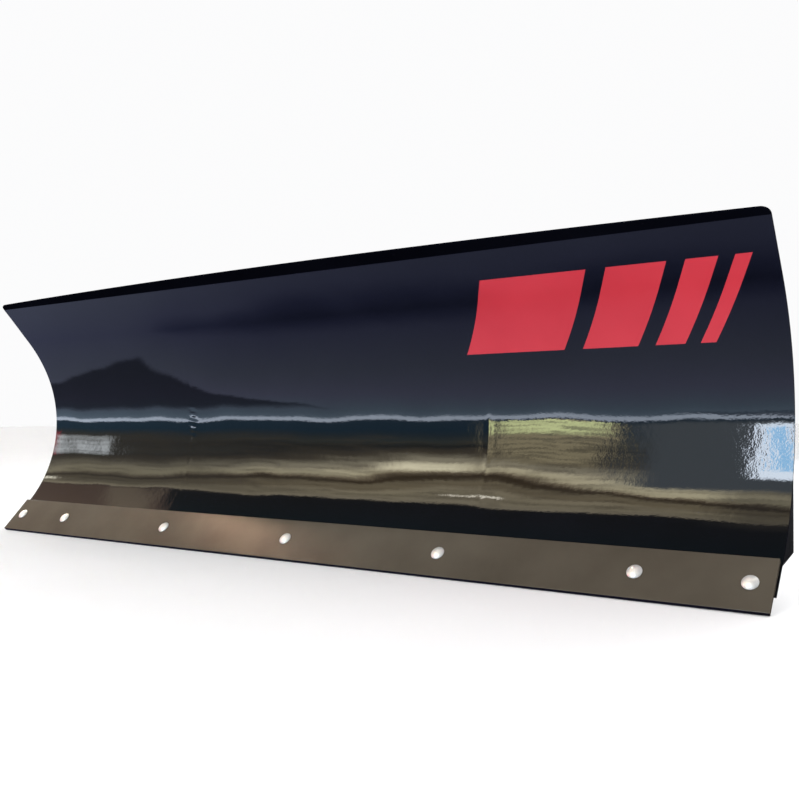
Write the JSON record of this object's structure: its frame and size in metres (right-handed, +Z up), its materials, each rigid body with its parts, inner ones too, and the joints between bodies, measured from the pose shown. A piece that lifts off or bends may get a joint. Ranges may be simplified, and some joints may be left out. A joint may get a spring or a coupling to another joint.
{
  "type": "atv plow blade",
  "caption": "Straight snow plow blade for an ATV: curved steel moldboard with a bent top lip, bolted wear bar, ribs, pinned push frame lugs, trip spring eyes and adjustable skid shoes.",
  "frame": {"origin": "centre of the blade's footprint on the ground", "axes": "+X along the blade, -Y towards the snow, +Z up"},
  "size_m": [1.524, 0.2474, 0.4706],
  "materials": {
    "gloss_black_paint": "high gloss black powder coat",
    "frame_paint": "semi gloss black powder coat",
    "wear_bar_finish": "satin brown-grey coating on steel bar",
    "red_vinyl": "gloss red vinyl",
    "zinc_hardware": "bright zinc plating"
  },
  "bodies": {
    "blade": {"backing_strip": "frame_paint", "decal_bar_1": "red_vinyl", "decal_bar_2": "red_vinyl", "decal_bar_3": "red_vinyl", "decal_bar_4": "red_vinyl", "end_rib_left": "frame_paint", "end_rib_right": "frame_paint", "moldboard": "gloss_black_paint", "pivot_rib_1": "frame_paint", "pivot_rib_2": "frame_paint", "pivot_rib_3": "frame_paint", "pivot_rib_4": "frame_paint", "skid_bolt_left_1": "zinc_hardware", "skid_bolt_left_2": "zinc_hardware", "skid_bolt_right_1": "zinc_hardware", "skid_bolt_right_2": "zinc_hardware", "skid_bracket_left": "frame_paint", "skid_bracket_right": "frame_paint", "skid_nut_left_1": "zinc_hardware", "skid_nut_left_2": "zinc_hardware", "skid_nut_right_1": "zinc_hardware", "skid_nut_right_2": "zinc_hardware", "skid_washer_left_1": "zinc_hardware", "skid_washer_left_2": "zinc_hardware", "skid_washer_right_1": "zinc_hardware", "skid_washer_right_2": "zinc_hardware", "spring_eye_left": "zinc_hardware", "spring_eye_right": "zinc_hardware", "spring_nut_inner_left": "zinc_hardware", "spring_nut_inner_right": "zinc_hardware", "spring_nut_outer_left": "zinc_hardware", "spring_nut_outer_right": "zinc_hardware", "spring_rail": "frame_paint", "stiffener_rib_left": "frame_paint", "stiffener_rib_right": "frame_paint", "wear_bar": "wear_bar_finish", "wear_bolt_1": "zinc_hardware", "wear_bolt_2": "zinc_hardware", "wear_bolt_3": "zinc_hardware", "wear_bolt_4": "zinc_hardware", "wear_bolt_5": "zinc_hardware", "wear_bolt_6": "zinc_hardware", "wear_bolt_7": "zinc_hardware", "wear_nut_1": "zinc_hardware", "wear_nut_2": "zinc_hardware", "wear_nut_3": "zinc_hardware", "wear_nut_4": "zinc_hardware", "wear_nut_5": "zinc_hardware", "wear_nut_6": "zinc_hardware", "wear_nut_7": "zinc_hardware"},
    "skid_left": {"skid_runner_left": "frame_paint", "skid_upright_left": "frame_paint"},
    "skid_right": {"skid_runner_right": "frame_paint", "skid_upright_right": "frame_paint"},
    "pin_left": {"pivot_clip_left": "zinc_hardware", "pivot_pin_left": "zinc_hardware"},
    "pin_right": {"pivot_clip_right": "zinc_hardware", "pivot_pin_right": "zinc_hardware"}
  },
  "joints": [
    {"name": "skid_left_height", "type": "slide", "parent": "blade", "child": "skid_left", "axis": [0, 0, 1], "range_m": [-0.028, 0.013]},
    {"name": "pivot_pin_left_turn", "type": "hinge", "parent": "blade", "child": "pin_left", "pos_m": [-0.15, 0.07308, 0.112], "axis": [1, 0, 0], "continuous": true},
    {"name": "skid_right_height", "type": "slide", "parent": "blade", "child": "skid_right", "axis": [0, 0, 1], "range_m": [-0.028, 0.013]},
    {"name": "pivot_pin_right_turn", "type": "hinge", "parent": "blade", "child": "pin_right", "pos_m": [0.15, 0.07308, 0.112], "axis": [1, 0, 0], "continuous": true}
  ]
}
